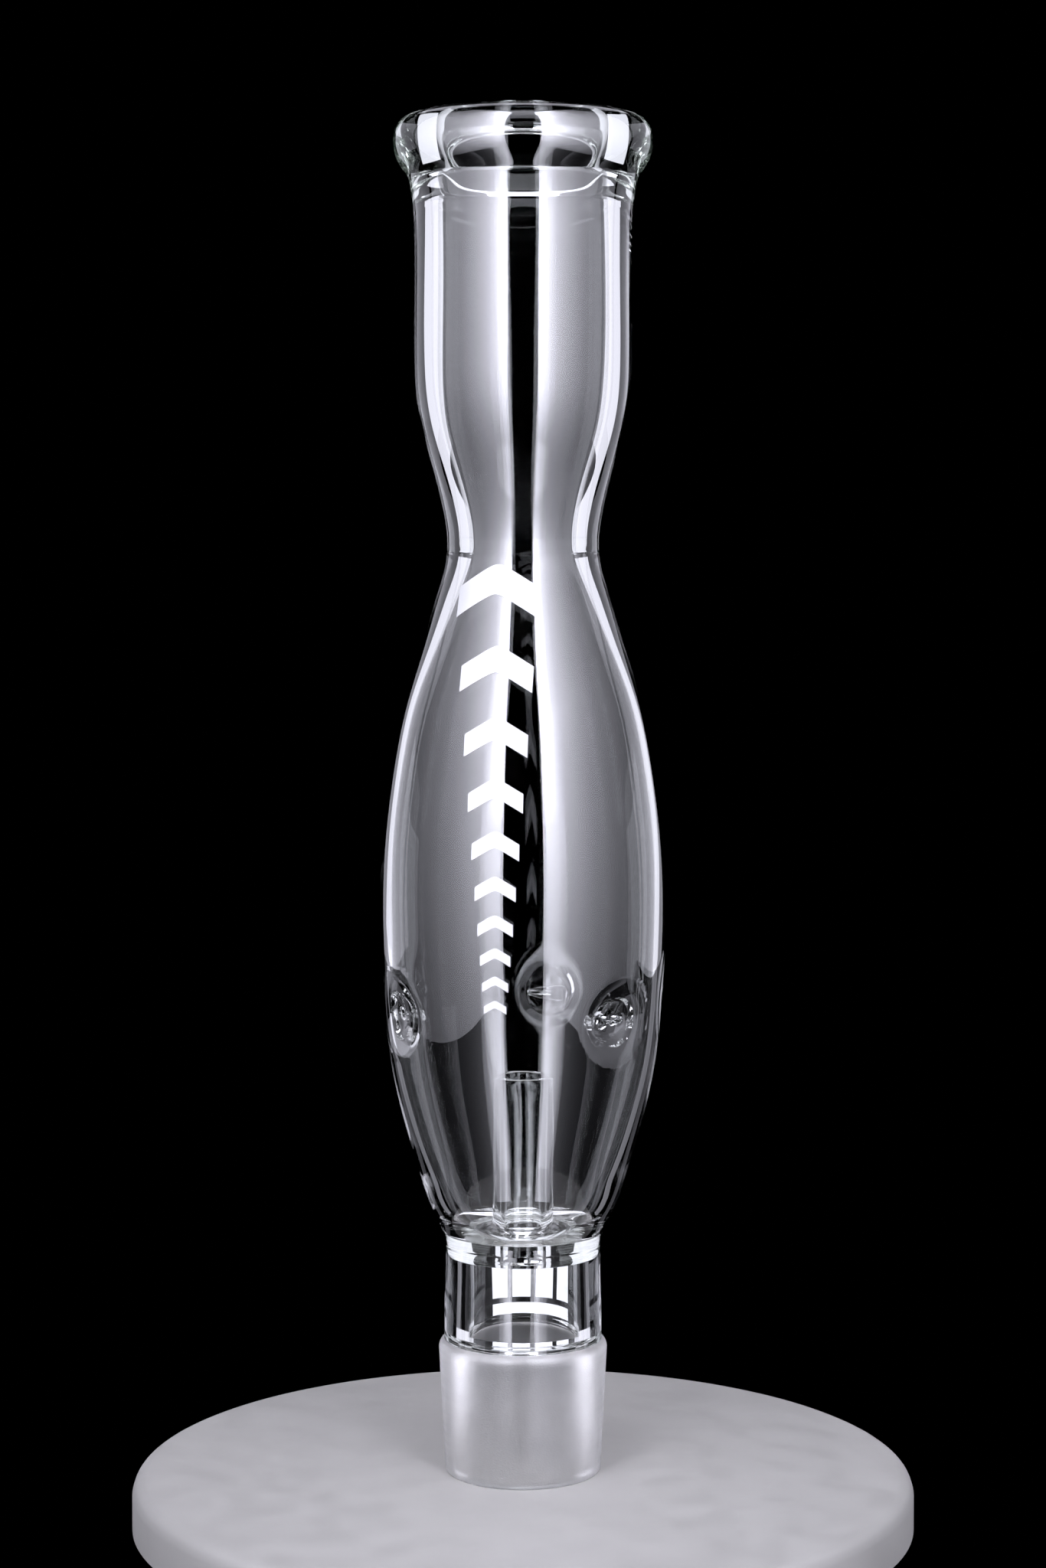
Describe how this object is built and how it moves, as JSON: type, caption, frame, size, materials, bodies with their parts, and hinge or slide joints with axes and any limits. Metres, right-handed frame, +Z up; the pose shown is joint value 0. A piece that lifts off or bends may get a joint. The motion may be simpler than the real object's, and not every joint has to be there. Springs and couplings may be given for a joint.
{
  "type": "glass mouthpiece column",
  "caption": "Clear blown-glass mouthpiece column with a rolled lip, a narrow waist, a long bulb with air inlets and an inner stem, and a frosted male taper joint.",
  "frame": {"origin": "centre of the taper joint's lower end face, which is the foot of the column", "axes": "+Z up along the column's axis from the joint to the lip; the front of the column faces -Y"},
  "size_m": [0.0584, 0.0584, 0.278],
  "materials": {
    "clear_glass": "clear, fire-polished",
    "thick_glass": "clear, fire-polished, faintly green where thick",
    "ground_glass": "ground, frosted",
    "white_enamel": "fired white enamel print, semi-gloss"
  },
  "bodies": {
    "root": {"ground_joint": "ground_glass", "joint_weld": "thick_glass", "collar_tube": "clear_glass", "partition": "thick_glass", "inner_stem": "clear_glass", "bulb": "clear_glass", "inlet_cup_left": "thick_glass", "inlet_jet_left": "thick_glass", "inlet_cup_right": "thick_glass", "inlet_jet_right": "thick_glass", "inlet_cup_back": "thick_glass", "inlet_jet_back": "thick_glass", "waist_weld": "thick_glass", "neck_tube": "clear_glass", "lip_bead": "thick_glass"}
  },
  "joints": []
}
